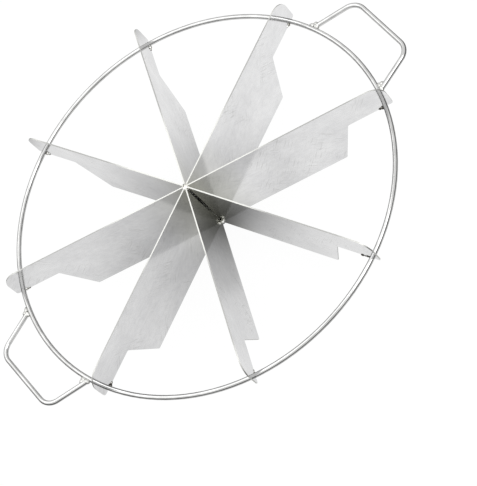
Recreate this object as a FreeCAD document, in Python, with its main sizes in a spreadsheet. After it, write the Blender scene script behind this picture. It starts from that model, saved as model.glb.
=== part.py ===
import FreeCAD, Part
import Sketcher
import math
import os

# Cake portion marker: stepped steel blades stand like spokes in a closed wire ring, and two wire
# handles are welded to the outside of the ring. It marks a cake's portions when pressed down on it.
# Millimetres, +Z up. The origin is on the hub's axis, in the plane of the blades' lower edges,
# which the marker stands on. The handles lie along X.

# Driving sizes
SIZES = {
    # Wire of the ring and of the handles
    "wire_diameter": 3.0,
    "ring_radius": 127.5,
    # Blades: how many, where the first one points, and the sheet that they are cut from
    "blade_count": 8,
    "first_blade_angle": 22.5,
    "sheet_thickness": 0.8,
    "blade_height": 50.0,
    # The narrow outer arm, the slanted step below it, and the tip past the ring
    "arm_height": 21.0,
    "arm_length": 25.5,
    "step_run": 13.0,
    "tip_overhang": 5.0,
    # Corner radii along the blade's outline, from the tip inwards
    "tip_radius": 10.0,
    "tip_foot_radius": 1.5,
    "neck_radius": 1.5,
    "heel_radius": 1.0,
    # Clearance round the wire in its notch, and between the blades' inner ends
    "notch_clearance": 0.05,
    "root_clearance": 0.1,
    # Blades that were welded a little off the even pitch, in degrees
    "blade_2_swing": 0.9,
    "blade_4_swing": -0.5,
    "blade_5_swing": 0.4,
    "blade_7_swing": -0.6,
    # Handles: the bar's distance from the ring, the feet's distance apart, the legs' lean
    # towards each other, the bend, the gap that the foot's weld fills, and each one's swing
    "handle_depth": 25.5,
    "handle_span": 69.2,
    "leg_lean": 15.7,
    "bend_radius": 10.0,
    "foot_gap": 0.85,
    "handle_right_swing": -2.0,
    "handle_left_swing": 0.5,
    # Welds at the ring: two run-together drops on the wire's inner side, at the arm's lower edge
    "drop_radius": 1.7,
    "tail_drop_radius": 1.3,
    "drop_inset": 0.6,
    "drop_spacing": 2.2,
    "drop_rise": 0.3,
    # Welds at the handles' feet: an oval bead along the ring, round the leg's end
    "foot_weld_width": 8.0,
    "foot_weld_depth": 4.8,
    "foot_weld_height": 4.0,
    # Welds at the hub: a rounded crown, and a root that runs down between the blades
    "hub_weld_top_radius": 2.3,
    "hub_weld_bottom_radius": 3.0,
    "hub_weld_thickness": 1.5,
    "hub_weld_rounding": 0.6,
    "hub_weld_crown": 0.5,
    "hub_weld_inset": 0.3,
    "hub_weld_depth": 4.0,
    "hub_root_radius": 1.6,
}

# Levels, reaches and angles that several pieces share
ARM_LEVEL = "(Sizes.blade_height - Sizes.arm_height)"
RING_LEVEL = "({} + Sizes.wire_diameter / 2)".format(ARM_LEVEL)
WIRE_RADIUS = "(Sizes.wire_diameter / 2)"
NOTCH_RADIUS = "({} + Sizes.notch_clearance)".format(WIRE_RADIUS)
NECK_REACH = "(Sizes.ring_radius - Sizes.arm_length)"
HEEL_REACH = "({} - Sizes.step_run)".format(NECK_REACH)
TIP_REACH = "(Sizes.ring_radius + Sizes.tip_overhang)"
ROOT_REACH = "(Sizes.sheet_thickness / 2 / tan(180 deg / Sizes.blade_count) + Sizes.root_clearance)"
BAR_REACH = "(Sizes.ring_radius + Sizes.handle_depth)"
FOOT_REACH = "(Sizes.ring_radius + {} + Sizes.foot_gap)".format(WIRE_RADIUS)
FOOT_ANGLE = "(asin(Sizes.handle_span / 2 / {}) / 1 deg)".format(FOOT_REACH)
FOOT_WELD_REACH = "({} - Sizes.foot_gap / 2)".format(FOOT_REACH)

doc = FreeCAD.newDocument("cake_portion_marker")


def add_sheet():
    """Writes every driving size to the sheet, as a plain number with its name as alias."""
    sheet = doc.addObject("Spreadsheet::Sheet", "Sizes")
    for row, (alias, value) in enumerate(SIZES.items(), start=1):
        sheet.set("A{}".format(row), alias)
        sheet.set("B{}".format(row), str(value))
        sheet.setAlias("B{}".format(row), alias)
    doc.recompute()
    return sheet


def value_of(item, expression):
    """Reads an expression's present value as a plain number."""
    value = item.evalExpression(expression)
    return float(getattr(value, "Value", value))


def about_axis(angle):
    """Gives the placement that turns a piece about the hub's axis."""
    turn = "create(<<rotation>>; create(<<vector>>; 0; 0; 1); {})".format(angle)
    return "create(<<placement>>; create(<<vector>>; 0; 0; 0); {})".format(turn)


def in_place(across, along, up, turn):
    """Gives the placement at a point, with its turn about Z, Y and X in degrees."""
    spot = "create(<<vector>>; {}; {}; {})".format(across, along, up)
    return "create(<<placement>>; {}; create(<<rotation>>; {}))".format(spot, turn)


def add_body(name):
    """Adds an empty body whose name is the piece's name."""
    body = doc.addObject("PartDesign::Body", name)
    body.Label = name
    return body


def origin_plane(body, role):
    """Finds one of the body's own origin planes."""
    return next(item for item in body.Origin.OriginFeatures if item.Role == role)


def add_sketch(body, name, role):
    """Adds a sketch on one of the body's own origin planes."""
    sketch = body.newObject("Sketcher::SketchObject", body.Name + "_" + name)
    sketch.AttachmentSupport = (origin_plane(body, role), [""])
    sketch.MapMode = "FlatFace"
    return sketch


def bind(sketch, kind, elements, expression):
    """Adds a dimension to a sketch and ties it to the sheet."""
    constraint = Sketcher.Constraint(kind, *elements, value_of(sketch, expression))
    number = sketch.addConstraint(constraint)
    sketch.setExpression("Constraints[{}]".format(number), expression)


def fix_point(sketch, edge, end, across, up):
    """Fixes one end of an edge at two distances from the sketch's origin."""
    for kind, axis, distance in (("DistanceX", -2, across), ("DistanceY", -1, up)):
        if distance == "0":
            sketch.addConstraint(Sketcher.Constraint("PointOnObject", edge, end, axis))
        else:
            bind(sketch, kind, (-1, 1, edge, end), distance)


def draw_polygon(sketch, corners):
    """Draws a closed outline through corners that are given as pairs of expressions."""
    points = [FreeCAD.Vector(value_of(sketch, across), value_of(sketch, up), 0) for across, up in corners]
    for index, point in enumerate(points):
        sketch.addGeometry(Part.LineSegment(point, points[(index + 1) % len(points)]), False)
    for index, (across, up) in enumerate(corners):
        sketch.addConstraint(Sketcher.Constraint("Coincident", index, 2, (index + 1) % len(corners), 1))
        fix_point(sketch, index, 1, across, up)


def draw_circle(sketch, across, up, radius):
    """Draws one circle whose centre and radius are expressions."""
    centre = FreeCAD.Vector(value_of(sketch, across), value_of(sketch, up), 0)
    circle = Part.Circle(centre, FreeCAD.Vector(0, 0, 1), value_of(sketch, radius))
    sketch.addGeometry(circle, False)
    fix_point(sketch, 0, 3, across, up)
    bind(sketch, "Radius", (0,), radius)


def check_removed(feature, before, body):
    """Stops if a cut left the body as it was."""
    doc.recompute()
    if body.Shape.Volume > before * 0.9999:
        raise RuntimeError(feature.Name + " removed nothing")


def cut_through(body, name, thickness, draw):
    """Cuts an outline out of a body, to the same depth on both sides of its middle plane."""
    before = body.Shape.Volume
    sketch = add_sketch(body, name + "_outline", "XZ_Plane")
    draw(sketch)
    pocket = body.newObject("PartDesign::Pocket", body.Name + "_" + name)
    pocket.Profile = sketch
    pocket.SideType = "Symmetric"
    pocket.setExpression("Length", thickness)
    check_removed(pocket, before, body)


def turn_about_axis(body, kind, name, draw):
    """Turns an outline all the way round the hub's axis, to add or to remove metal."""
    sketch = add_sketch(body, name + "_outline", "XZ_Plane")
    draw(sketch)
    turned = body.newObject("PartDesign::" + kind, body.Name + "_" + name)
    turned.Profile = sketch
    turned.ReferenceAxis = (sketch, ["V_Axis"])
    turned.Angle = 360
    return turned


def draw_wire(sketch):
    """Draws the section of the ring's wire."""
    draw_circle(sketch, "Sizes.ring_radius", RING_LEVEL, WIRE_RADIUS)


def cut_wire(body):
    """Takes the ring's wire out of weld metal, so that the weld lies on it face to face."""
    before = body.Shape.Volume
    groove = turn_about_axis(body, "Groove", "wire", draw_wire)
    check_removed(groove, before, body)


def edge_across(shape, reach, level):
    """Names the straight edge that runs through the sheet at a reach and a level."""
    for number, edge in enumerate(shape.Edges, start=1):
        ends = [vertex.Point for vertex in edge.Vertexes]
        if len(ends) == 2 and all(math.hypot(end.x - reach, end.z - level) < 1e-4 for end in ends):
            return "Edge{}".format(number)
    raise RuntimeError("no edge through the sheet at {}, {}".format(reach, level))


def circles_at(shape, radius):
    """Names the circular edges of one radius."""
    names = []
    for number, edge in enumerate(shape.Edges, start=1):
        if isinstance(edge.Curve, Part.Circle) and abs(edge.Curve.Radius - radius) < 1e-4:
            names.append("Edge{}".format(number))
    return names


def round_corner(body, name, reach, level, radius):
    """Rounds one corner of a blade's outline."""
    base = body.Tip
    fillet = body.newObject("PartDesign::Fillet", body.Name + "_" + name)
    edge = edge_across(base.Shape, value_of(body, reach), value_of(body, level))
    fillet.Base = (base, [edge])
    fillet.setExpression("Radius", radius)
    doc.recompute()


def draw_notch(sketch):
    """Draws the slot that drops over the ring's wire: straight sides under a half circle."""
    across = value_of(sketch, "Sizes.ring_radius")
    centre = value_of(sketch, RING_LEVEL)
    mouth = value_of(sketch, ARM_LEVEL)
    radius = value_of(sketch, NOTCH_RADIUS)
    crown = Part.Circle(FreeCAD.Vector(across, centre, 0), FreeCAD.Vector(0, 0, 1), radius)
    corners = [
        FreeCAD.Vector(across - radius, centre, 0),
        FreeCAD.Vector(across - radius, mouth, 0),
        FreeCAD.Vector(across + radius, mouth, 0),
        FreeCAD.Vector(across + radius, centre, 0),
    ]
    sketch.addGeometry(Part.ArcOfCircle(crown, 0, math.pi), False)
    for start, end in zip(corners, corners[1:]):
        sketch.addGeometry(Part.LineSegment(start, end), False)
    fix_point(sketch, 0, 3, "Sizes.ring_radius", RING_LEVEL)
    bind(sketch, "Radius", (0,), NOTCH_RADIUS)
    sketch.addConstraint(Sketcher.Constraint("Tangent", 0, 2, 1, 1))
    sketch.addConstraint(Sketcher.Constraint("Coincident", 1, 2, 2, 1))
    sketch.addConstraint(Sketcher.Constraint("Coincident", 2, 2, 3, 1))
    sketch.addConstraint(Sketcher.Constraint("Tangent", 3, 2, 0, 1))
    sketch.addConstraint(Sketcher.Constraint("Vertical", 1))
    sketch.addConstraint(Sketcher.Constraint("Horizontal", 2))
    sketch.addConstraint(Sketcher.Constraint("Vertical", 3))
    bind(sketch, "DistanceY", (-1, 1, 1, 2), ARM_LEVEL)


def make_ring():
    """Bends the wire into a closed circle: its section turned about the hub's axis."""
    body = add_body("ring")
    turn_about_axis(body, "Revolution", "bend", draw_wire)
    doc.recompute()
    return body


def blade_angle(number):
    """Gives a blade's angle about the axis, in degrees: the even pitch and its own swing."""
    swing = "blade_{}_swing".format(number)
    angle = "Sizes.first_blade_angle + {} * 360 / Sizes.blade_count".format(number - 1)
    return "({} + Sizes.{})".format(angle, swing) if swing in SIZES else "({})".format(angle)


def make_blade(number):
    """Cuts one blade from sheet: strip, slanted step, notch for the wire, rounded corners."""
    body = add_body("blade_{}".format(number))
    outline = add_sketch(body, "strip_outline", "XZ_Plane")
    top = "Sizes.blade_height"
    draw_polygon(outline, [(ROOT_REACH, "0"), (TIP_REACH, "0"), (TIP_REACH, top), (ROOT_REACH, top)])
    strip = body.newObject("PartDesign::Pad", body.Name + "_strip")
    strip.Profile = outline
    strip.SideType = "Symmetric"
    strip.setExpression("Length", "Sizes.sheet_thickness")
    doc.recompute()
    under_arm = [(HEEL_REACH, "0"), (TIP_REACH, "0"), (TIP_REACH, ARM_LEVEL), (NECK_REACH, ARM_LEVEL)]
    thickness = "Sizes.sheet_thickness * 2"
    cut_through(body, "step", thickness, lambda sketch: draw_polygon(sketch, under_arm))
    cut_through(body, "notch", thickness, draw_notch)
    round_corner(body, "tip", TIP_REACH, top, "Sizes.tip_radius")
    round_corner(body, "tip_foot", TIP_REACH, ARM_LEVEL, "Sizes.tip_foot_radius")
    round_corner(body, "neck", NECK_REACH, ARM_LEVEL, "Sizes.neck_radius")
    round_corner(body, "heel", HEEL_REACH, "0", "Sizes.heel_radius")
    body.setExpression("Placement", about_axis(blade_angle(number)))
    return body


def draw_half_handle(sketch):
    """Draws half of a handle's centre line: half the bar, the bend, and the leg to its foot."""
    reach = value_of(sketch, BAR_REACH)
    bend = value_of(sketch, "Sizes.bend_radius")
    lean = math.radians(value_of(sketch, "Sizes.leg_lean"))
    foot = FreeCAD.Vector(0, value_of(sketch, "Sizes.handle_span / 2"), 0)
    foot.x = math.sqrt(value_of(sketch, FOOT_REACH) ** 2 - foot.y ** 2)
    corner = FreeCAD.Vector(reach, foot.y - (reach - foot.x) * math.tan(lean), 0)
    trim = bend * math.tan(math.pi / 4 - lean / 2)
    bar_end = corner - FreeCAD.Vector(0, trim, 0)
    leg_start = corner + FreeCAD.Vector(-math.cos(lean), math.sin(lean), 0) * trim
    circle = Part.Circle(bar_end - FreeCAD.Vector(bend, 0, 0), FreeCAD.Vector(0, 0, 1), bend)
    sketch.addGeometry(Part.LineSegment(FreeCAD.Vector(reach, 0, 0), bar_end), False)
    sketch.addGeometry(Part.ArcOfCircle(circle, 0, math.pi / 2 - lean), False)
    sketch.addGeometry(Part.LineSegment(leg_start, foot), False)
    fix_point(sketch, 0, 1, BAR_REACH, "0")
    sketch.addConstraint(Sketcher.Constraint("Vertical", 0))
    sketch.addConstraint(Sketcher.Constraint("Tangent", 0, 2, 1, 1))
    sketch.addConstraint(Sketcher.Constraint("Tangent", 1, 2, 2, 1))
    bind(sketch, "Radius", (1,), "Sizes.bend_radius")
    bind(sketch, "DistanceY", (-1, 1, 2, 2), "Sizes.handle_span / 2")
    bind(sketch, "Distance", (-1, 1, 2, 2), FOOT_REACH)
    bind(sketch, "Angle", (2,), "180 deg - Sizes.leg_lean * 1 deg")


def make_handle(side, angle):
    """Bends one handle: the wire's section swept from the bar's middle to one foot, then mirrored."""
    body = add_body("handle_" + side)
    route = add_sketch(body, "route", "XY_Plane")
    route.setExpression("AttachmentOffset.Base.z", RING_LEVEL)
    draw_half_handle(route)
    section = add_sketch(body, "section", "XZ_Plane")
    draw_circle(section, BAR_REACH, RING_LEVEL, WIRE_RADIUS)
    doc.recompute()
    half = body.newObject("PartDesign::AdditivePipe", body.Name + "_half")
    half.Profile = section
    half.Spine = (route, ["Edge1", "Edge2", "Edge3"])
    doc.recompute()
    whole = body.newObject("PartDesign::Mirrored", body.Name + "_whole")
    whole.Originals = [half]
    whole.MirrorPlane = (origin_plane(body, "XZ_Plane"), [""])
    body.Tip = whole
    body.setExpression("Placement", about_axis(angle))
    doc.recompute()
    return body


def add_drop(body, name, radius, place):
    """Adds a round drop of weld metal."""
    drop = body.newObject("PartDesign::AdditiveSphere", body.Name + "_" + name)
    drop.setExpression("Radius", radius)
    drop.setExpression("Placement", place)
    doc.recompute()


def draw_arm(sketch):
    """Draws the outer arm of a blade, where a weld lies against it."""
    low, high = ARM_LEVEL, "Sizes.blade_height"
    draw_polygon(sketch, [(NECK_REACH, low), (TIP_REACH, low), (TIP_REACH, high), (NECK_REACH, high)])


def make_ring_weld(number):
    """Lays the two drops that join a blade's arm to the inner side of the ring."""
    body = add_body("ring_weld_{}".format(number))
    reach = "(Sizes.ring_radius - {} - Sizes.drop_inset)".format(WIRE_RADIUS)
    level = "({} + Sizes.drop_rise)".format(ARM_LEVEL)
    add_drop(body, "drop", "Sizes.drop_radius", in_place(reach, "0", level, "0; 0; 0"))
    reach = "({} - Sizes.drop_spacing)".format(reach)
    add_drop(body, "tail", "Sizes.tail_drop_radius", in_place(reach, "0", level, "0; 0; 0"))
    cut_wire(body)
    cut_through(body, "arm", "Sizes.sheet_thickness", draw_arm)
    body.setExpression("Placement", about_axis(blade_angle(number)))
    return body


def make_foot_weld(name, angle, sign):
    """Lays the weld round one foot of a handle, between the leg's end and the ring."""
    body = add_body(name)
    turn = "{}({})".format(sign, FOOT_ANGLE)
    across = "cos({} * 1 deg)".format(turn)
    along = "sin({} * 1 deg)".format(turn)
    bead = body.newObject("PartDesign::AdditiveEllipsoid", name + "_bead")
    bead.setExpression("Radius1", "Sizes.foot_weld_height / 2")
    bead.setExpression("Radius2", "Sizes.foot_weld_depth / 2")
    bead.setExpression("Radius3", "Sizes.foot_weld_width / 2")
    middle = (FOOT_WELD_REACH + " * " + across, FOOT_WELD_REACH + " * " + along)
    bead.setExpression("Placement", in_place(*middle, RING_LEVEL, turn + "; 0; 0"))
    doc.recompute()
    cut_wire(body)
    before = body.Shape.Volume
    leg = body.newObject("PartDesign::SubtractiveCylinder", name + "_leg")
    leg.setExpression("Radius", WIRE_RADIUS)
    leg.setExpression("Height", "Sizes.foot_weld_depth")
    opposite = "-" if sign == "" else ""
    lean = opposite + "Sizes.leg_lean; 90; 0"
    end = (FOOT_REACH + " * " + across, FOOT_REACH + " * " + along)
    leg.setExpression("Placement", in_place(*end, RING_LEVEL, lean))
    check_removed(leg, before, body)
    body.setExpression("Placement", about_axis(angle))
    return body


def make_handles():
    """Makes both handles and the welds at their feet."""
    handles = []
    welds = []
    for side, turn, feet in (("right", 0, ("front", "rear")), ("left", 180, ("rear", "front"))):
        angle = "({} + Sizes.handle_{}_swing)".format(turn, side)
        handles.append(make_handle(side, angle))
        for foot, sign in zip(feet, ("-", "")):
            welds.append(make_foot_weld("handle_weld_{}_{}".format(side, foot), angle, sign))
    return handles + welds


def make_hub_weld(name, face_level, inward, blades):
    """Lays the weld that joins the blades' inner ends: a flat crown and a root between them."""
    body = add_body(name + "_metal")
    under = "({} {} Sizes.hub_weld_thickness)".format(face_level, inward)
    deep = "({} {} Sizes.hub_weld_depth)".format(face_level, inward)
    edge, root = "Sizes.{}_radius".format(name), "Sizes.hub_root_radius"
    outline = [("0", face_level), (edge, face_level), (edge, under), (root, deep), ("0", deep)]
    turn_about_axis(body, "Revolution", "crown", lambda sketch: draw_polygon(sketch, outline))
    doc.recompute()
    crown = body.Tip
    rounding = body.newObject("PartDesign::Fillet", name + "_rounding")
    rounding.Base = (crown, circles_at(crown.Shape, value_of(body, edge)))
    rounding.setExpression("Radius", "Sizes.hub_weld_rounding")
    slots = doc.addObject("Part::Compound", name + "_slots")
    slots.Links = blades
    weld = doc.addObject("Part::Cut", name)
    weld.Base = body
    weld.Tool = slots
    doc.recompute()
    return weld


def make_hub_welds(blades):
    """Makes the weld just above the top edges and the one just inside the lower edges."""
    top = "(Sizes.blade_height + Sizes.hub_weld_crown)"
    return [
        make_hub_weld("hub_weld_top", top, "-", blades),
        make_hub_weld("hub_weld_bottom", "Sizes.hub_weld_inset", "+", blades),
    ]


def check_and_export(pieces):
    """Stops if anything failed, then writes each piece to its own file."""
    doc.recompute()
    for item in doc.Objects:
        if "Invalid" in item.State or "Error" in item.State:
            raise RuntimeError("{} failed".format(item.Name))
    for piece in pieces:
        shape = piece.Shape
        if shape.isNull() or not shape.isValid() or len(shape.Solids) != 1:
            raise RuntimeError("{} is not one sound solid".format(piece.Label))
    os.makedirs("parts", exist_ok=True)
    for piece in pieces:
        piece.Shape.exportStep("parts/{}.step".format(piece.Label))
        print("{:18s} {:10.2f} mm3".format(piece.Label, piece.Shape.Volume))


sheet = add_sheet()
ring = make_ring()
numbers = range(1, int(sheet.blade_count) + 1)
blades = [make_blade(number) for number in numbers]
handles_and_welds = make_handles()
ring_welds = [make_ring_weld(number) for number in numbers]
hub_welds = make_hub_welds(blades)
check_and_export([ring] + blades + handles_and_welds + ring_welds + hub_welds)
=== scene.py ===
"""Dresses the cake portion marker: steel finishes, weld beads, the studio and the camera.

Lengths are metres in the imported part's own frame. +Z is up, the hub's axis is Z, the handles lie
along X, and the marker stands on z = 0.
"""

import logging
import math
from collections.abc import Mapping, Sequence
from dataclasses import dataclass
from enum import Enum
from typing import Any, NamedTuple

import bmesh
import bpy
from mathutils import Euler, Matrix, Vector, noise


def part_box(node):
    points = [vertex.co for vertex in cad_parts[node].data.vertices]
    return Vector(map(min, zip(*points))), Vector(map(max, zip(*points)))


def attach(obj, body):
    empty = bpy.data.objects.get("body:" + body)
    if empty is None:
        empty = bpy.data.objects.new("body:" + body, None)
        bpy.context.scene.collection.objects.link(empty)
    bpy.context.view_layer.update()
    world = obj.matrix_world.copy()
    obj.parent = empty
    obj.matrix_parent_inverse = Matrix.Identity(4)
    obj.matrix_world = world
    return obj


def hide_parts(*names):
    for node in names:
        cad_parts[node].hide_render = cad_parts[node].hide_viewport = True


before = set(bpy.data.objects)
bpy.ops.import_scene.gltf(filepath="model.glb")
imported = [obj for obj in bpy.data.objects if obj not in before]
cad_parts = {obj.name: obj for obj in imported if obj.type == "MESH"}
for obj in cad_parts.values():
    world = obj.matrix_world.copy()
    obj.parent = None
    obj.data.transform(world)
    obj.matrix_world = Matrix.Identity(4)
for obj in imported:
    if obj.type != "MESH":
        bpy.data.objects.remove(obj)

MM = 0.001
BLADE_COUNT = 8
PATTERN_MIDDLE = 0.5

Socket = bpy.types.NodeSocket
Tree = bpy.types.NodeTree
Span = tuple[float, float]
Triple = tuple[float, float, float]
Rgba = tuple[float, float, float, float]

log = logging.getLogger("cake_marker")


def linear(hex_code: str, alpha: float = 1.0) -> Rgba:
    """Turns an sRGB hex colour into the linear colour that shaders work in.

    Args:
        hex_code: six hex digits, red first.
        alpha: the fourth channel.

    Returns:
        Linear red, green, blue and alpha.
    """
    channels = [int(hex_code[k : k + 2], 16) / 255 for k in (0, 2, 4)]
    curve = [c / 12.92 if c <= 0.04045 else ((c + 0.055) / 1.055) ** 2.4 for c in channels]
    return (curve[0], curve[1], curve[2], alpha)


def add_node(
    tree: Tree, kind: str, inputs: Mapping[str | int, Any] | Sequence[Any] = (), **settings: Any
) -> bpy.types.Node:
    """Adds a node, applies its settings, then fills or links its inputs.

    Args:
        tree: the node tree that gets the node.
        kind: the node's type name.
        inputs: a value or a feeding socket for each input, in order or under its name or number.
        **settings: properties of the node itself.

    Returns:
        The new node.
    """
    node = tree.nodes.new(kind)
    for name, value in settings.items():
        setattr(node, name, value)
    pairs = inputs.items() if isinstance(inputs, Mapping) else enumerate(inputs)
    for key, value in pairs:
        if isinstance(value, Socket):
            tree.links.new(value, node.inputs[key])
        else:
            node.inputs[key].default_value = value
    return node


def new_material(name: str) -> tuple[bpy.types.Material, Tree]:
    """Makes an empty node material.

    Args:
        name: the finish's name.

    Returns:
        The material and its node tree.
    """
    material = bpy.data.materials.new(name)
    material.use_nodes = True
    material.node_tree.nodes.clear()
    return material, material.node_tree


class HubWeld(Enum):
    """The hub's two welds, by their nodes."""

    TOP = "hub_weld_top"
    BOTTOM = "hub_weld_bottom"


class SheetPlace(NamedTuple):
    """Where a point lies on its own blade, as sockets of a node tree."""

    reach: Socket
    height: Socket
    sheared: Socket
    sheet: Socket


@dataclass(frozen=True)
class Grain:
    """A pattern on the blades: its cells' size along and up the sheet, and how fine it goes.

    The step is in cells. It sets apart the patterns of two blades, and those of a blade's two
    sides, so that no two look alike.
    """

    length: float
    width: float
    step: float
    detail: float

    def draw(self, tree: Tree, sheet: Socket) -> Socket:
        """Draws the pattern.

        Args:
            tree: the material's node tree.
            sheet: reach, height and layer, where each side of each blade is a layer of its own.

        Returns:
            A value from 0 to 1.
        """
        cells = (1 / self.length, 1 / self.width, self.step)
        spread = add_node(tree, "ShaderNodeVectorMath", (sheet, cells), operation="MULTIPLY").outputs[0]
        fineness = {"Vector": spread, "Scale": 1.0, "Detail": self.detail}
        return add_node(tree, "ShaderNodeTexNoise", fineness).outputs["Fac"]


@dataclass(frozen=True)
class ColdRolledSheet:
    """Cold rolled stainless sheet (304, 2B), rubbed lengthwise with fine abrasive.

    The eye sees a soft mirror: it shows the wire and the next blade a little blurred, with faint
    streaks along the blade, scuffed patches and finger marks. Its sheared edges are bright round
    the hub and grey further out, and the seam between two blades gets painted shade: a dark colour
    that stands for the shade in the corner where they meet.
    """

    bright: str = "eeeeee"
    dull: str = "d4d4d5"
    scratch: str = "8a8a88"
    edge: str = "dcdcd8"
    outer_edge: str = "a8a8a6"
    straw: str = "d3d3ca"
    # Painted shade: the dark colour put in the seam between two blades, where shade falls
    seam_shade: str = "1e1c1a"
    grazing: float = 0.88
    roughness: float = 0.08
    roughness_spread: float = 0.05
    edge_roughness: float = 0.45
    seam_shade_roughness: float = 0.75
    # Real rubbing lines are near 0.02 mm wide: drawn at 0.5 mm, so that they show at all
    streak: Grain = Grain(length=14.0 * MM, width=0.5 * MM, step=40.0, detail=2.0)
    streak_weight: float = 0.36
    streak_depth: float = 0.0035 * MM
    # Large cloudy patches, as handling leaves them
    cloud: Grain = Grain(length=22.0 * MM, width=22.0 * MM, step=7.0, detail=5.0)
    cloud_weight: float = 0.7
    cloud_base: float = 0.15
    cloud_range: Span = (0.3, 0.7)
    # Rolling leaves the sheet a little wavy, which bends what it mirrors
    wave: Grain = Grain(length=60.0 * MM, width=60.0 * MM, step=5.0, detail=0.0)
    wave_depth: float = 0.09 * MM
    # Real scuffs are near 0.05 mm wide: drawn at 0.8 mm, so that they show at all. They run at two
    # slants, in radians off the blade's length, each in its own patches
    scuff: Grain = Grain(length=10.0 * MM, width=0.8 * MM, step=23.0, detail=2.0)
    scuff_weight: float = 0.5
    scuff_slants: Span = (0.75, -0.95)
    patches: tuple[Grain, Grain] = (
        Grain(length=22.0 * MM, width=22.0 * MM, step=11.0, detail=1.0),
        Grain(length=22.0 * MM, width=22.0 * MM, step=17.0, detail=1.0),
    )
    patch_range: Span = (0.42, 0.62)
    scratch_range: Span = (0.54, 0.7)
    scratch_weight: float = 0.3
    # Finger marks and water spots, a few millimetres across
    smudge: Grain = Grain(length=3.5 * MM, width=3.5 * MM, step=31.0, detail=3.0)
    smudge_weight: float = 0.4
    bright_range: Span = (0.42, 1.02)
    # Reaches from the hub's axis: the weld's heat tint, the grey edges and their paler tips
    tint_range: Span = (2.0 * MM, 34.0 * MM)
    tint_weight: float = 0.6
    edge_range: Span = (44.0 * MM, 62.0 * MM)
    tip_range: Span = (111.0 * MM, 122.0 * MM)
    tip_grey: float = 0.35
    # The painted shade in the seam between two blades: its reach, and the heights where it fades out towards
    # the welds
    seam_range: Span = (1.5 * MM, 2.1 * MM)
    seam_foot: Span = (13.0 * MM, 30.0 * MM)
    seam_crown: Span = (36.0 * MM, 46.0 * MM)
    crown_seam_shade: float = 0.25
    # A face whose normal has less than this share across the blade is a sheared edge
    side_limit: float = 0.6
    # How far one blade's layers lie from the next blade's, where a blade's two sides are 2 apart
    layer_step: float = 0.31

    def material(self) -> bpy.types.Material:
        """Builds the finish in coordinates that follow each blade.

        Returns:
            The blades' material.
        """
        material, tree = new_material("cold_rolled_sheet")
        place = self._place(tree)
        streak = self.streak.draw(tree, place.sheet)
        cloud = self.cloud.draw(tree, place.sheet)
        wave = self.wave.draw(tree, place.sheet)
        seam = self._seam(tree, place)
        polished = (cloud, *self.cloud_range, self.roughness, self.roughness + self.roughness_spread)
        gloss = add_node(tree, "ShaderNodeMapRange", polished).outputs[0]
        for amount, rough in ((place.sheared, self.edge_roughness), (seam, self.seam_shade_roughness)):
            gloss = add_node(tree, "ShaderNodeMix", {0: amount, 2: gloss, 3: rough}).outputs[0]
        rolled = add_node(
            tree, "ShaderNodeBump", {"Strength": 1.0, "Distance": self.wave_depth, "Height": wave}
        ).outputs[0]
        rubbed = add_node(
            tree,
            "ShaderNodeBump",
            {"Strength": 1.0, "Distance": self.streak_depth, "Height": streak, "Normal": rolled},
        ).outputs[0]
        steel = add_node(
            tree,
            "ShaderNodeBsdfPrincipled",
            {
                "Base Color": self._colour(tree, place, streak, cloud, seam),
                "Metallic": 1.0,
                "Roughness": gloss,
                "Normal": rubbed,
                "Specular Tint": (self.grazing, self.grazing, self.grazing, 1.0),
            },
        )
        add_node(tree, "ShaderNodeOutputMaterial", {"Surface": steel.outputs[0]})
        return material

    def _place(self, tree: Tree) -> SheetPlace:
        """Works out where a point lies on its blade.

        Args:
            tree: the material's node tree.

        Returns:
            The reach from the hub's axis, the height, whether it lies on a sheared edge, and the
            coordinates that the patterns read.
        """
        point = add_node(tree, "ShaderNodeTexCoord").outputs["Object"]
        x, y, height = add_node(tree, "ShaderNodeSeparateXYZ", (point,)).outputs
        level = add_node(tree, "ShaderNodeCombineXYZ", (x, y)).outputs[0]
        reach = add_node(tree, "ShaderNodeVectorMath", (level,), operation="LENGTH").outputs["Value"]
        angle = add_node(tree, "ShaderNodeMath", (y, x), operation="ARCTAN2").outputs[0]
        sectors = (angle, BLADE_COUNT / math.tau)
        sector = add_node(tree, "ShaderNodeMath", sectors, operation="MULTIPLY").outputs[0]
        number = add_node(tree, "ShaderNodeMath", (sector,), operation="FLOOR").outputs[0]
        back = add_node(tree, "ShaderNodeMath", (y, -1.0), operation="MULTIPLY").outputs[0]
        across = add_node(tree, "ShaderNodeCombineXYZ", (back, x)).outputs[0]
        across = add_node(tree, "ShaderNodeVectorMath", (across,), operation="NORMALIZE").outputs[0]
        normal = add_node(tree, "ShaderNodeNewGeometry").outputs["Normal"]
        facing = add_node(
            tree, "ShaderNodeVectorMath", (across, normal), operation="DOT_PRODUCT"
        ).outputs["Value"]
        side = add_node(tree, "ShaderNodeMath", (facing,), operation="SIGN").outputs[0]
        square = add_node(tree, "ShaderNodeMath", (facing,), operation="ABSOLUTE").outputs[0]
        edgewise = (square, self.side_limit)
        sheared = add_node(tree, "ShaderNodeMath", edgewise, operation="LESS_THAN").outputs[0]
        layered = (number, self.layer_step, side)
        layer = add_node(tree, "ShaderNodeMath", layered, operation="MULTIPLY_ADD").outputs[0]
        sheet = add_node(tree, "ShaderNodeCombineXYZ", (reach, height, layer)).outputs[0]
        return SheetPlace(reach, height, sheared, sheet)

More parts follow.
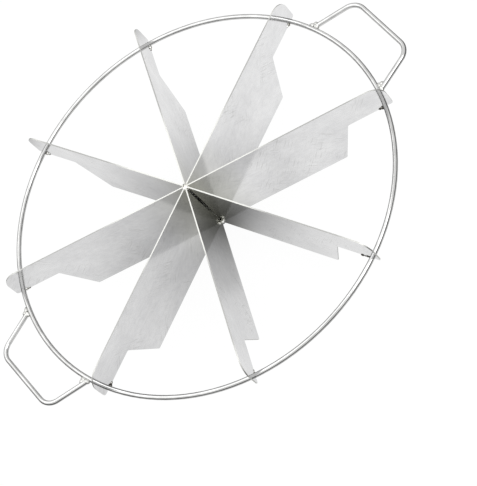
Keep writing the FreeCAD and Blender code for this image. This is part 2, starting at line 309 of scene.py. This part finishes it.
    def _seam(self, tree: Tree, place: SheetPlace) -> Socket:
        """Finds the sheet's cut end in the corner between two blades, which gets painted shade.

        Args:
            tree: the material's node tree.
            place: where the point lies.

        Returns:
            1 in the seam, where shade is painted, and 0 elsewhere.
        """
        root = add_node(tree, "ShaderNodeMapRange", (place.reach, *self.seam_range, 1.0, 0.0)).outputs[0]
        foot = add_node(tree, "ShaderNodeMapRange", (place.height, *self.seam_foot)).outputs[0]
        crown = add_node(
            tree, "ShaderNodeMapRange", (place.height, *self.seam_crown, 1.0, self.crown_seam_shade)
        ).outputs[0]
        seam = add_node(tree, "ShaderNodeMath", (root, foot), operation="MULTIPLY").outputs[0]
        return add_node(tree, "ShaderNodeMath", (seam, crown), operation="MULTIPLY").outputs[0]

    def _wear(self, tree: Tree, place: SheetPlace, streak: Socket, cloud: Socket) -> tuple[Socket, Socket]:
        """Adds up what rubbing and handling have left on the sheet.

        Args:
            tree: the material's node tree.
            place: where the point lies.
            streak: the rubbing lines.
            cloud: the large cloudy patches.

        Returns:
            How bright the steel is, and how scratched.
        """
        based = (cloud, self.cloud_weight, self.cloud_base)
        bright = add_node(tree, "ShaderNodeMath", based, operation="MULTIPLY_ADD").outputs[0]
        rubbed = (streak, self.streak_weight, bright)
        bright = add_node(tree, "ShaderNodeMath", rubbed, operation="MULTIPLY_ADD").outputs[0]
        scratched: Socket | float = 0.0
        for slant, patches in zip(self.scuff_slants, self.patches):
            slanted = add_node(
                tree,
                "ShaderNodeVectorRotate",
                {"Vector": place.sheet, "Angle": slant},
                rotation_type="Z_AXIS",
            ).outputs[0]
            scuff = self.scuff.draw(tree, slanted)
            patch = patches.draw(tree, place.sheet)
            patch = add_node(tree, "ShaderNodeMapRange", (patch, *self.patch_range)).outputs[0]
            line = add_node(tree, "ShaderNodeMapRange", (scuff, *self.scratch_range)).outputs[0]
            line = add_node(tree, "ShaderNodeMath", (line, patch), operation="MULTIPLY").outputs[0]
            scratched = add_node(
                tree, "ShaderNodeMath", (line, patch, scratched), operation="MULTIPLY_ADD"
            ).outputs[0]
            scuff = add_node(tree, "ShaderNodeMath", (scuff, PATTERN_MIDDLE), operation="SUBTRACT").outputs[0]
            scuff = add_node(tree, "ShaderNodeMath", (scuff, patch), operation="MULTIPLY").outputs[0]
            scuffed = (scuff, self.scuff_weight, bright)
            bright = add_node(tree, "ShaderNodeMath", scuffed, operation="MULTIPLY_ADD").outputs[0]
        smudge = self.smudge.draw(tree, place.sheet)
        smudge = add_node(tree, "ShaderNodeMath", (smudge, PATTERN_MIDDLE), operation="SUBTRACT").outputs[0]
        smudged = (smudge, self.smudge_weight, bright)
        bright = add_node(tree, "ShaderNodeMath", smudged, operation="MULTIPLY_ADD").outputs[0]
        bright = add_node(tree, "ShaderNodeMapRange", (bright, *self.bright_range)).outputs[0]
        scratched = add_node(
            tree, "ShaderNodeMath", (scratched, self.scratch_weight), operation="MULTIPLY"
        ).outputs[0]
        return bright, scratched

    def _colour(self, tree: Tree, place: SheetPlace, streak: Socket, cloud: Socket, seam: Socket) -> Socket:
        """Mixes the steel's colour from its wear, the weld's heat, its edges and the painted shade in the
        seam.

        Args:
            tree: the material's node tree.
            place: where the point lies.
            streak: the rubbing lines.
            cloud: the large cloudy patches.
            seam: 1 in the seam at the hub, which gets painted shade.

        Returns:
            The colour.
        """
        bright, scratched = self._wear(tree, place, streak, cloud)
        # Heat of the hub's weld leaves a faint straw tint on the steel beside it
        heat = add_node(
            tree, "ShaderNodeMapRange", (place.reach, *self.tint_range, self.tint_weight, 0.0)
        ).outputs[0]
        # The sheared edge is rubbed bright round the hub and left grey further out
        outer = add_node(tree, "ShaderNodeMapRange", (place.reach, *self.edge_range)).outputs[0]
        tip = add_node(
            tree, "ShaderNodeMapRange", (place.reach, *self.tip_range, 1.0, self.tip_grey)
        ).outputs[0]
        outer = add_node(tree, "ShaderNodeMath", (outer, tip), operation="MULTIPLY").outputs[0]
        edges = {0: outer, 6: linear(self.edge), 7: linear(self.outer_edge)}
        edge = add_node(tree, "ShaderNodeMix", edges, data_type="RGBA").outputs[2]
        colour: Socket | Rgba = linear(self.dull)
        for amount, shade in (
            (bright, linear(self.bright)),
            (scratched, linear(self.scratch)),
            (heat, linear(self.straw)),
            (place.sheared, edge),
            # Painted shade: the seam between two blades is coloured dark
            (seam, linear(self.seam_shade)),
        ):
            shades = {0: amount, 6: colour, 7: shade}
            colour = add_node(tree, "ShaderNodeMix", shades, data_type="RGBA").outputs[2]
        return colour


@dataclass(frozen=True)
class DrawnWire:
    """Bright drawn stainless wire (304), 3 mm thick.

    The eye sees a clean round bar with one bright line, one dark line and fine die marks.
    """

    bright: str = "d8d8d7"
    dull: str = "c4c4c3"
    grazing: float = 0.3
    roughness: float = 0.06
    roughness_spread: float = 0.1
    # Real die marks are near 0.01 mm: drawn at 0.6 mm, so that they show at all
    mark_width: float = 0.6 * MM
    mark_detail: float = 2.0
    mark_depth: float = 0.004 * MM
    mark_range: Span = (0.3, 0.7)
    patch_size: float = 9.0 * MM
    patch_detail: float = 3.0
    patch_range: Span = (0.35, 0.65)

    def material(self) -> bpy.types.Material:
        """Builds the finish from two patterns on the piece's own coordinates.

        Returns:
            The wire's material.
        """
        material, tree = new_material("drawn_wire")
        place = add_node(tree, "ShaderNodeTexCoord").outputs["Object"]
        fineness = {"Vector": place, "Scale": 1 / self.mark_width, "Detail": self.mark_detail}
        marks = add_node(tree, "ShaderNodeTexNoise", fineness).outputs["Fac"]
        fineness = {"Vector": place, "Scale": 1 / self.patch_size, "Detail": self.patch_detail}
        patches = add_node(tree, "ShaderNodeTexNoise", fineness).outputs["Fac"]
        blend = add_node(tree, "ShaderNodeMapRange", (patches, *self.patch_range)).outputs[0]
        shades = {0: blend, 6: linear(self.dull), 7: linear(self.bright)}
        colour = add_node(tree, "ShaderNodeMix", shades, data_type="RGBA").outputs[2]
        marked = (marks, *self.mark_range, self.roughness, self.roughness + self.roughness_spread)
        gloss = add_node(tree, "ShaderNodeMapRange", marked).outputs[0]
        bump = add_node(
            tree, "ShaderNodeBump", {"Strength": 1.0, "Distance": self.mark_depth, "Height": marks}
        ).outputs[0]
        steel = add_node(
            tree,
            "ShaderNodeBsdfPrincipled",
            {
                "Base Color": colour,
                "Metallic": 1.0,
                "Roughness": gloss,
                "Normal": bump,
                "Specular Tint": (self.grazing, self.grazing, self.grazing, 1.0),
            },
        )
        add_node(tree, "ShaderNodeOutputMaterial", {"Surface": steel.outputs[0]})
        return material


@dataclass(frozen=True)
class WeldMetal:
    """Stainless weld metal, as it set: a small shiny drop with scale and heat tints.

    The eye sees a lumpy bright spot with brown and grey specks. A cleaner weld has fewer of them.
    """

    name: str
    bright: str = "e8e8e5"
    straw: str = "bcb8ad"
    scale: str = "4c4a47"
    clean: float = 0.5
    roughness: float = 0.2
    speck_size: float = 1.1 * MM
    speck_detail: float = 4.0
    speck_depth: float = 0.04 * MM
    speck_strength: float = 0.8
    # Where in the specks' pattern scale ends on an uncleaned weld, and the step to each next shade
    scale_level: float = 0.62
    shade_step: float = 0.06
    clean_shift: float = 0.34

    def material(self) -> bpy.types.Material:
        """Builds the finish: bright metal, straw patches and a few dark specks.

        Returns:
            The weld's material.
        """
        material, tree = new_material(self.name)
        place = add_node(tree, "ShaderNodeTexCoord").outputs["Object"]
        fineness = {"Vector": place, "Scale": 1 / self.speck_size, "Detail": self.speck_detail}
        specks = add_node(tree, "ShaderNodeTexNoise", fineness).outputs["Fac"]
        ramp = add_node(tree, "ShaderNodeValToRGB", {"Fac": specks})
        elements = ramp.color_ramp.elements
        elements.new(PATTERN_MIDDLE)
        start = self.scale_level - self.clean_shift * self.clean
        for step, (element, shade) in enumerate(zip(elements, (self.scale, self.straw, self.bright))):
            element.position = start + step * self.shade_step
            element.color = linear(shade)
        bump = add_node(
            tree,
            "ShaderNodeBump",
            {"Strength": self.speck_strength, "Distance": self.speck_depth, "Height": specks},
        ).outputs[0]
        metal = add_node(
            tree,
            "ShaderNodeBsdfPrincipled",
            {"Base Color": ramp.outputs[0], "Metallic": 1.0, "Roughness": self.roughness, "Normal": bump},
        )
        add_node(tree, "ShaderNodeOutputMaterial", {"Surface": metal.outputs[0]})
        return material


@dataclass(frozen=True)
class Drop:
    """One drop of weld metal: its centre, its three radii and its turn about Z."""

    centre: Vector
    radii: Vector
    turn: float = 0.0


@dataclass(frozen=True)
class Dab:
    """How one drop is laid, in millimetres from its weld's middle.

    The steps go outward from the hub, along the ring, upward and up the handle's leg. A drop on
    the leg lines up with it, and any other with the hub, off by the turn in radians. The last two
    values say how far the outward step and the radii differ from weld to weld.
    """

    radii: Triple
    outward: float = 0.0
    along: float = 0.0
    upward: float = 0.0
    up_leg: float = 0.0
    turn: float = 0.0
    on_leg: bool = False
    vary_outward: float = 0.0
    vary_radii: Triple = (0.0, 0.0, 0.0)


@dataclass
class WeldBeads:
    """The lumpy beads at the ring, at the handles' feet and at the hub, one for each plain weld."""

    foot_finish: bpy.types.Material
    ring_finish: bpy.types.Material
    # The scaled finish is partly real weld scale and partly painted shade for the notch under a blade's arm
    scaled_shaded_finish: bpy.types.Material
    crown_finish: bpy.types.Material
    base_finish: bpy.types.Material
    slot: str = "weld_steel"
    # The skin: how fine its drops and its grain are, its smoothing, and its lumps' height and width
    drop_cuts: int = 3
    grain: float = 0.16 * MM
    smoothing: int = 3
    smoothing_share: float = 0.5
    lump: float = 0.13 * MM
    foot_lump: float = 0.05 * MM
    lump_size: float = 1.6 * MM
    lump_sink: float = 0.2
    ring_names: Sequence[str] = tuple(f"ring_weld_{k + 1}" for k in range(BLADE_COUNT))
    # Welds in the notch under a blade's arm: their darker finish is partly weld scale and partly painted
    # shade
    scaled_shaded_names: Sequence[str] = ("ring_weld_5", "ring_weld_7", "ring_weld_8")
    drawn_names: Sequence[str] = ("ring_weld_7",)
    foot_names: Sequence[str] = tuple(
        f"handle_weld_{side}_{end}" for side in ("right", "left") for end in ("front", "rear")
    )
    # Two run-together drops on the wire's inner side
    ring_dabs: Sequence[Dab] = (
        Dab((1.4, 1.5, 1.3), outward=1.0, vary_radii=(0.0, 0.3, 0.0)),
        Dab((1.3, 1.05, 1.05), outward=-0.8, vary_outward=0.4, vary_radii=(0.0, 0.0, -0.2)),
    )
    # One weld was drawn on along the arm's lower edge and ends in a drop, dark with weld scale and painted
    # shade
    drawn_dabs: Sequence[Dab] = (
        Dab((1.3, 0.95, 0.95), outward=-2.7, upward=-0.6),
        Dab((1.3, 1.2, 1.3), outward=-4.8, upward=-0.6),
    )
    # The core, the collar on the leg, the flare along the ring, the web between them, and the back
    foot_dabs: Sequence[Dab] = (
        Dab((1.7, 1.9, 1.75)),
        Dab((1.5, 1.65, 1.62), up_leg=1.3, on_leg=True),
        Dab((1.5, 2.6, 1.5), outward=-0.2, along=2.3, turn=0.2),
        Dab((1.6, 1.7, 1.4), along=1.9, up_leg=1.7),
        Dab((1.3, 1.5, 1.4), outward=-0.2, along=-1.1),
    )
    leg_lean_deg: float = 31.0
    # Each ring weld reads its own number from a pattern this fine, in cells to the metre
    vary_cells: float = 900.0
    # The hub's welds: a flat heap over the blades' inner ends, with a short run into each gap. The
    # run's radii are in millimetres
    crown_spread: float = 2.1 * MM
    base_spread: float = 2.6 * MM
    heap_depth: float = 1.0 * MM
    heap_ratio: float = 0.95
    run_share: float = 0.8
    run_depth: float = 1.55 * MM
    run_radii: Triple = (1.0, 0.95, 1.3)
    vary_run_reach: float = 0.35 * MM
    vary_run_depth: float = 0.5 * MM
    vary_run_cell: Triple = (1.7, 3.1, 0.4)
    # The lump that was laid last stands out between the two front blades
    last_lump: Drop = Drop(Vector((0.3, -2.8, 1.6)) * MM, Vector((1.75, 1.5, 1.55)) * MM)

    def build(self) -> list[bpy.types.Object]:
        """Makes every bead.

        Returns:
            The bead objects.
        """
        beads = []
        for name in self.ring_names:
            finish = self.scaled_shaded_finish if name in self.scaled_shaded_names else self.ring_finish
            beads.append(self._bead(name, self._ring_drops(name), finish, self.lump))
        for name in self.foot_names:
            beads.append(self._bead(name, self._foot_drops(name), self.foot_finish, self.foot_lump))
        crown = self._hub_drops(HubWeld.TOP, self.crown_spread)
        beads.append(self._bead(HubWeld.TOP.value, crown, self.crown_finish, self.lump))
        base = [*self._hub_drops(HubWeld.BOTTOM, self.base_spread), self.last_lump]
        beads.append(self._bead(HubWeld.BOTTOM.value, base, self.base_finish, self.lump))
        return beads

    @staticmethod
    def _spot(name: str) -> tuple[Vector, float]:
        """Finds a plain weld.

        Args:
            name: the weld's node.

        Returns:
            Its middle, and its direction from the hub.
        """
        low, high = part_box(name)
        middle = (low + high) / 2
        return middle, math.atan2(middle.y, middle.x)

    def _ring_drops(self, name: str) -> list[Drop]:
        """Lays a ring weld's drops, each weld a little different.

        Args:
            name: the weld's node.

        Returns:
            The drops.
        """
        middle, angle = self._spot(name)
        outward = Vector((math.cos(angle), math.sin(angle), 0))
        vary = noise.noise(middle * self.vary_cells)
        drops = []
        for dab in (*self.ring_dabs, *(self.drawn_dabs if name in self.drawn_names else ())):
            step = outward * (dab.outward + dab.vary_outward * vary) + Vector((0, 0, dab.upward))
            radii = Vector(dab.radii) + Vector(dab.vary_radii) * vary
            drops.append(Drop(middle + step * MM, radii * MM, angle))
        return drops

    def _foot_drops(self, name: str) -> list[Drop]:
        """Lays the weld round a leg's end, so that it runs out along the ring on one side.

        Args:
            name: the weld's node.

        Returns:
            The drops.
        """
        middle, angle = self._spot(name)
        # The way round the hub that leads away from the handle's middle, where 1 is anticlockwise
        away = 1.0 if (middle.y > 0) == (middle.x > 0) else -1.0
        # A rear weld runs out past the handle, and a front one in between its legs
        flare = away if middle.y > 0 else -away
        outward = Vector((math.cos(angle), math.sin(angle), 0))
        along = Vector((-math.sin(angle), math.cos(angle), 0)) * flare
        lean = angle - away * math.radians(self.leg_lean_deg)
        leg = Vector((math.cos(lean), math.sin(lean), 0))
        drops = []
        for dab in self.foot_dabs:
            step = outward * dab.outward + along * dab.along + leg * dab.up_leg
            turn = lean if dab.on_leg else angle + flare * dab.turn
            drops.append(Drop(middle + step * MM, Vector(dab.radii) * MM, turn))
        return drops

    def _hub_drops(self, weld: HubWeld, spread: float) -> list[Drop]:
        """Heaps drops over the blades' inner ends, with a short run into each gap.

        Args:
            weld: which of the hub's welds.
            spread: the heap's radius.

        Returns:
            The drops.
        """
        low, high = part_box(weld.value)
        face, upward = (high.z, 1.0) if weld is HubWeld.TOP else (low.z, -1.0)
        heap = Vector((spread, spread * self.heap_ratio, self.heap_depth))
        drops = [Drop(Vector((0, 0, face - upward * self.heap_depth)), heap)]
        across, up, shift = self.vary_run_cell
        for k in range(BLADE_COUNT):
            angle = math.radians(k * 360 / BLADE_COUNT)
            vary = noise.noise(Vector((k * across, upward * up, shift)))
            reach = spread * self.run_share + self.vary_run_reach * vary
            depth = face - upward * (self.run_depth + self.vary_run_depth * vary)
            centre = Vector((math.cos(angle) * reach, math.sin(angle) * reach, depth))
            drops.append(Drop(centre, Vector(self.run_radii) * MM, angle))
        return drops

    def _bead(
        self, name: str, drops: Sequence[Drop], finish: bpy.types.Material, lump: float
    ) -> bpy.types.Object:
        """Makes one bead, which takes the place of its plain weld.

        Args:
            name: the plain weld's node.
            drops: the drops to join.
            finish: the bead's material.
            lump: how far its lumps stand out.

        Returns:
            The finished bead.
        """
        bead = self._joined(name, drops)
        self._roughen(bead.data, lump)
        bead.data.name = name + "_bead"
        for face in bead.data.polygons:
            face.use_smooth = True
        bead.data.materials.clear()
        bead.data.materials.append(finish)
        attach(bead, "root")
        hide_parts(name)
        return bead

    def _joined(self, name: str, drops: Sequence[Drop]) -> bpy.types.Object:
        """Runs drops together into one closed skin.

        Args:
            name: the plain weld's node.
            drops: the drops to join.

        Returns:
            The smooth bead.
        """
        shape = bmesh.new()
        for drop in drops:
            size = Matrix.Diagonal((*drop.radii, 1.0))
            place = Matrix.Translation(drop.centre) @ Matrix.Rotation(drop.turn, 4, "Z") @ size
            bmesh.ops.create_icosphere(shape, subdivisions=self.drop_cuts, radius=1.0, matrix=place)
        rough = bpy.data.meshes.new(name + "_drops")
        shape.to_mesh(rough)
        shape.free()
        bead = bpy.data.objects.new(name + "_bead", rough)
        bpy.context.scene.collection.objects.link(bead)
        joined = bead.modifiers.new("join", "REMESH")
        joined.mode = "VOXEL"
        joined.voxel_size = self.grain
        view = bpy.context.evaluated_depsgraph_get()
        skin = bpy.data.meshes.new_from_object(bead.evaluated_get(view))
        bead.modifiers.clear()
        bead.data = skin
        bpy.data.meshes.remove(rough)
        return bead

    def _roughen(self, skin: bpy.types.Mesh, lump: float) -> None:
        """Smooths the skin's steps and raises lumps on it.

        Args:
            skin: the joined drops.
            lump: how far the lumps stand out.
        """
        shape = bmesh.new()
        shape.from_mesh(skin)
        ways = {"use_axis_x": True, "use_axis_y": True, "use_axis_z": True}
        for _ in range(self.smoothing):
            bmesh.ops.smooth_vert(shape, verts=shape.verts, factor=self.smoothing_share, **ways)
        shape.normal_update()
        for vertex in shape.verts:
            rise = noise.noise(vertex.co / self.lump_size) - self.lump_sink
            vertex.co += vertex.normal * rise * lump
        bmesh.ops.recalc_face_normals(shape, faces=shape.faces)
        shape.to_mesh(skin)
        shape.free()


@dataclass
class SteelWork:
    """The blades, the ring and the handles: they keep their shape and get their finish."""

    sheet: bpy.types.Material
    wire: bpy.types.Material
    blade_names: Sequence[str] = tuple(f"blade_{k + 1}" for k in range(BLADE_COUNT))
    wire_names: Sequence[str] = ("ring", "handle_right", "handle_left")

    def dress(self) -> list[bpy.types.Object]:
        """Gives each piece its finish.

        Returns:
            The dressed pieces.
        """
        pieces = []
        for names, material in ((self.blade_names, self.sheet), (self.wire_names, self.wire)):
            for name in names:
                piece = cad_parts[name]
                piece.data.materials.clear()
                piece.data.materials.append(material)
                pieces.append(piece)
        return pieces


@dataclass(frozen=True)
class Viewpoint:
    """Where the photograph was taken from, with its lens and the middle of its projection.

    The sensor's width is in millimetres, and the near and far limits of the view in metres.
    """

    location: Triple = (0.017858, -0.727239, 0.967881)
    turn_deg: Triple = (26.472, 25.5871, -38.8945)
    focal_px: float = 1949.4
    centre_px: Span = (231.61, 247.84)
    frame_px: tuple[int, int] = (477, 486)
    sensor: float = 36.0
    clip: Span = (0.05, 20.0)

    def place(self) -> bpy.types.Object:
        """Makes the camera and gives it to the scene.

        Returns:
            The camera.
        """
        width, height = self.frame_px
        longest = max(width, height)
        data = bpy.data.cameras.new("viewpoint")
        data.sensor_width = self.sensor
        data.lens = self.focal_px * self.sensor / longest
        data.shift_x = (width / 2 - self.centre_px[0]) / longest
        data.shift_y = (self.centre_px[1] - height / 2) / longest
        data.clip_start, data.clip_end = self.clip
        camera = bpy.data.objects.new("viewpoint", data)
        camera.location = self.location
        camera.rotation_euler = Euler([math.radians(a) for a in self.turn_deg], "XYZ")
        bpy.context.scene.collection.objects.link(camera)
        bpy.context.scene.camera = camera
        return camera


@dataclass(frozen=True)
class Lamp:
    """A square soft lamp: its name, its place, its side in metres and its power in watts."""

    name: str
    place: Triple
    side: float
    watts: float

    def hang(self) -> None:
        """Hangs the lamp so that it faces the marker."""
        data = bpy.data.lights.new(self.name, "AREA")
        data.shape = "SQUARE"
        data.size = self.side
        data.energy = self.watts
        lamp = bpy.data.objects.new(self.name, data)
        lamp.location = self.place
        lamp.rotation_euler = (-lamp.location).to_track_quat("-Z", "Y").to_euler()
        bpy.context.scene.collection.objects.link(lamp)


@dataclass(frozen=True)
class PaleTable:
    """A matt white table top that stays white to the eye and keeps the marker's soft shadow.

    The blades are mirrors and show the table, so it is shaded as metal sees it. The places are in
    metres from the hub's axis, and 1 is white.
    """

    side: float = 8.0
    pale: str = "f2f2f0"
    white: str = "ffffff"
    shadowed: str = "4c4c4c"
    eye_level: float = 0.95
    # Dim under the hub, where the blades keep the light off
    shade_centre: Triple = (-0.0145, 0.0174, 0.0)
    shade_reach: float = 0.085
    shade_level: float = 0.42
    # Darkest in the gap between the two front blades, which faces away from the light. Its sides
    # are in radians off the front
    nook_bearings: Span = (0.34, 0.41)
    nook_reach: float = 0.055
    nook_level: float = 0.15
    # A pale spot where light falls through the gap on the right
    spot_centre: Triple = (0.010, -0.0183, 0.0)
    spot_reach: float = 0.036
    spot_level: float = 1.42
    # Dim again far out, past the marker
    far_range: Span = (0.15, 0.2)
    far_level: float = 0.2
    # The room's light comes a little more from the right and the back, and a lamp stands in front
    slant: Triple = (0.54, 0.6, 0.0)
    near_range: Span = (0.055, 0.1)
    levels: Span = (0.91, 1.03)

    def lay(self) -> None:
        """Lays the table top under the marker."""
        shape = bmesh.new()
        bmesh.ops.create_grid(shape, x_segments=1, y_segments=1, size=self.side / 2)
        mesh = bpy.data.meshes.new("table_top")
        shape.to_mesh(mesh)
        shape.free()
        table = bpy.data.objects.new("table_top", mesh)
        bpy.context.scene.collection.objects.link(table)
        mesh.materials.append(self.material())

    def material(self) -> bpy.types.Material:
        """Builds the finish: plain matt to the light, and a level of white to the eye and to metal.

        Returns:
            The table's material.
        """
        material, tree = new_material("pale_table")
        path = add_node(tree, "ShaderNodeLightPath").outputs
        levels = {0: path["Is Camera Ray"], 2: self._metal_level(tree), 3: self.eye_level}
        glow = add_node(tree, "ShaderNodeMix", levels).outputs[0]
        glowing = {"Color": linear(self.white), "Strength": glow}
        white = add_node(tree, "ShaderNodeEmission", glowing).outputs[0]
        shadowed = add_node(tree, "ShaderNodeBsdfDiffuse", {"Color": linear(self.shadowed)}).outputs[0]
        seen = add_node(tree, "ShaderNodeAddShader", (white, shadowed)).outputs[0]
        plain = add_node(tree, "ShaderNodeBsdfDiffuse", {"Color": linear(self.pale)}).outputs[0]
        looked = add_node(
            tree, "ShaderNodeMath", (path["Is Camera Ray"], path["Is Glossy Ray"]), operation="MAXIMUM"
        ).outputs[0]
        looked = add_node(
            tree, "ShaderNodeMath", (looked, path["Is Transmission Ray"]), operation="MAXIMUM"
        ).outputs[0]
        surface = add_node(tree, "ShaderNodeMixShader", (looked, plain, seen)).outputs[0]
        add_node(tree, "ShaderNodeOutputMaterial", {"Surface": surface})
        return material

    def _metal_level(self, tree: Tree) -> Socket:
        """Shades the table as metal sees it.

        Args:
            tree: the material's node tree.

        Returns:
            The level, where 1 is white.
        """
        place = add_node(tree, "ShaderNodeTexCoord").outputs["Object"]
        x, y, _ = add_node(tree, "ShaderNodeSeparateXYZ", (place,)).outputs
        front = add_node(tree, "ShaderNodeMath", (y, -1.0), operation="MULTIPLY").outputs[0]
        reach = add_node(tree, "ShaderNodeVectorMath", (place,), operation="LENGTH").outputs["Value"]
        shade = add_node(
            tree, "ShaderNodeVectorMath", (place, self.shade_centre), operation="DISTANCE"
        ).outputs["Value"]
        shade = add_node(
            tree, "ShaderNodeMapRange", (shade, 0.0, self.shade_reach, self.shade_level, 1.0)
        ).outputs[0]
        spot = add_node(
            tree, "ShaderNodeVectorMath", (place, self.spot_centre), operation="DISTANCE"
        ).outputs["Value"]
        spot = add_node(
            tree,
            "ShaderNodeMapRange",
            (spot, 0.0, self.spot_reach, self.spot_level, 1.0),
            interpolation_type="SMOOTHSTEP",
        ).outputs[0]
        far = add_node(
            tree,
            "ShaderNodeMapRange",
            (reach, *self.far_range, 1.0, self.far_level),
            interpolation_type="SMOOTHSTEP",
        ).outputs[0]
        near = add_node(
            tree,
            "ShaderNodeMapRange",
            (front, *self.near_range, *self.levels),
            interpolation_type="SMOOTHSTEP",
        ).outputs[0]
        slant = add_node(
            tree, "ShaderNodeVectorMath", (place, self.slant), operation="DOT_PRODUCT"
        ).outputs["Value"]
        room = add_node(tree, "ShaderNodeMath", (slant, near), operation="ADD").outputs[0]
        level = add_node(tree, "ShaderNodeMath", (room, 1.0), operation="MINIMUM").outputs[0]
        for part in (shade, self._nook(tree, x, front, reach), spot, far):
            level = add_node(tree, "ShaderNodeMath", (level, part), operation="MULTIPLY").outputs[0]
        return level

    def _nook(self, tree: Tree, x: Socket, front: Socket, reach: Socket) -> Socket:
        """Shades the gap between the two front blades.

        Args:
            tree: the material's node tree.
            x: how far right of the hub a point lies.
            front: how far in front of it.
            reach: how far from it.

        Returns:
            The level inside the gap, and 1 outside.
        """
        bearing = add_node(tree, "ShaderNodeMath", (x, front), operation="ARCTAN2").outputs[0]
        bearing = add_node(tree, "ShaderNodeMath", (bearing,), operation="ABSOLUTE").outputs[0]
        inside = add_node(
            tree,
            "ShaderNodeMapRange",
            (bearing, *self.nook_bearings, 1.0, 0.0),
            interpolation_type="SMOOTHSTEP",
        ).outputs[0]
        depth = add_node(
            tree, "ShaderNodeMapRange", (reach, 0.0, self.nook_reach, self.nook_level, 1.0)
        ).outputs[0]
        return add_node(tree, "ShaderNodeMix", {0: inside, 2: 1.0, 3: depth}).outputs[0]


@dataclass(frozen=True)
class WhiteRoom:
    """The room: white overhead and behind, dark low down at the front and the sides, as metal sees it.

    The heights and depths are parts of a direction, where 1 is straight up or straight back.
    """

    white: str = "ffffff"
    heights: Span = (0.1, 0.5)
    low_level: float = 0.04
    depths: Span = (0.3, 0.8)
    plain_level: float = 0.68

    def surround(self) -> None:
        """Gives the scene its world: plain light on the marker, and white to the eye."""
        world = bpy.data.worlds.new("studio")
        world.use_nodes = True
        tree = world.node_tree
        tree.nodes.clear()
        path = add_node(tree, "ShaderNodeLightPath").outputs
        way = add_node(tree, "ShaderNodeTexCoord").outputs["Generated"]
        _, back, up = add_node(tree, "ShaderNodeSeparateXYZ", (way,)).outputs
        height = add_node(
            tree,
            "ShaderNodeMapRange",
            (up, *self.heights, self.low_level, 1.0),
            interpolation_type="SMOOTHSTEP",
        ).outputs[0]
        behind = add_node(
            tree, "ShaderNodeMapRange", (back, *self.depths), interpolation_type="SMOOTHSTEP"
        ).outputs[0]
        level = add_node(tree, "ShaderNodeMix", {0: behind, 2: height, 3: 1.0}).outputs[0]
        shown = (path["Is Glossy Ray"], path["Is Transmission Ray"])
        shown = add_node(tree, "ShaderNodeMath", shown, operation="MAXIMUM").outputs[0]
        level = add_node(tree, "ShaderNodeMix", {0: shown, 2: self.plain_level, 3: level}).outputs[0]
        level = add_node(tree, "ShaderNodeMix", {0: path["Is Camera Ray"], 2: level, 3: 1.0}).outputs[0]
        light = add_node(tree, "ShaderNodeBackground", {"Color": linear(self.white), "Strength": level})
        add_node(tree, "ShaderNodeOutputWorld", {"Surface": light.outputs[0]})
        bpy.context.scene.world = world


@dataclass(frozen=True)
class Studio:
    """A white table in a white room, with one wide soft lamp overhead and a smaller one in front."""

    table: PaleTable = PaleTable()
    room: WhiteRoom = WhiteRoom()
    lamps: Sequence[Lamp] = (
        Lamp("overhead_lamp", (-0.4, 0.5, 1.7), side=1.6, watts=8.0),
        Lamp("front_lamp", (0.66, -0.66, 1.2), side=0.7, watts=3.8),
    )

    def build(self) -> None:
        """Makes the table, the room and the lamps."""
        self.table.lay()
        self.room.surround()
        for lamp in self.lamps:
            lamp.hang()


def main() -> None:
    """Builds the studio and the camera, then dresses the marker."""
    logging.basicConfig(level=logging.INFO, format="%(name)s: %(message)s")
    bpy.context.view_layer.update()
    bpy.context.scene.view_settings.view_transform = "Standard"
    Viewpoint().place()
    Studio().build()
    work = SteelWork(ColdRolledSheet().material(), DrawnWire().material())
    for piece in work.dress():
        log.info("dressed %s with %s", piece.name, piece.data.materials[0].name)
    foot = WeldMetal("foot_weld_metal", bright="d2d2cf", straw="c4c2bc", clean=1.1, roughness=0.32)
    ring = WeldMetal("ring_weld_metal", clean=0.75)
    # Darker weld metal for welds in the notch under a blade's arm: partly real scale, partly painted shade
    # for the notch
    scaled_shaded = WeldMetal("scaled_shaded_weld_metal", bright="b4b2ac", straw="8a8780", scale="3e3c38", clean=0.3)
    crown = WeldMetal("crown_weld_metal", bright="dcdbd5", clean=0.8)
    base = WeldMetal("base_weld_metal", bright="fcfcfa", clean=1.2, roughness=0.14)
    welds = WeldBeads(
        foot_finish=foot.material(),
        ring_finish=ring.material(),
        scaled_shaded_finish=scaled_shaded.material(),
        crown_finish=crown.material(),
        base_finish=base.material(),
    )
    for bead in welds.build():
        log.info("made %s with %d faces", bead.name, len(bead.data.polygons))


if __name__ == "__main__":
    main()
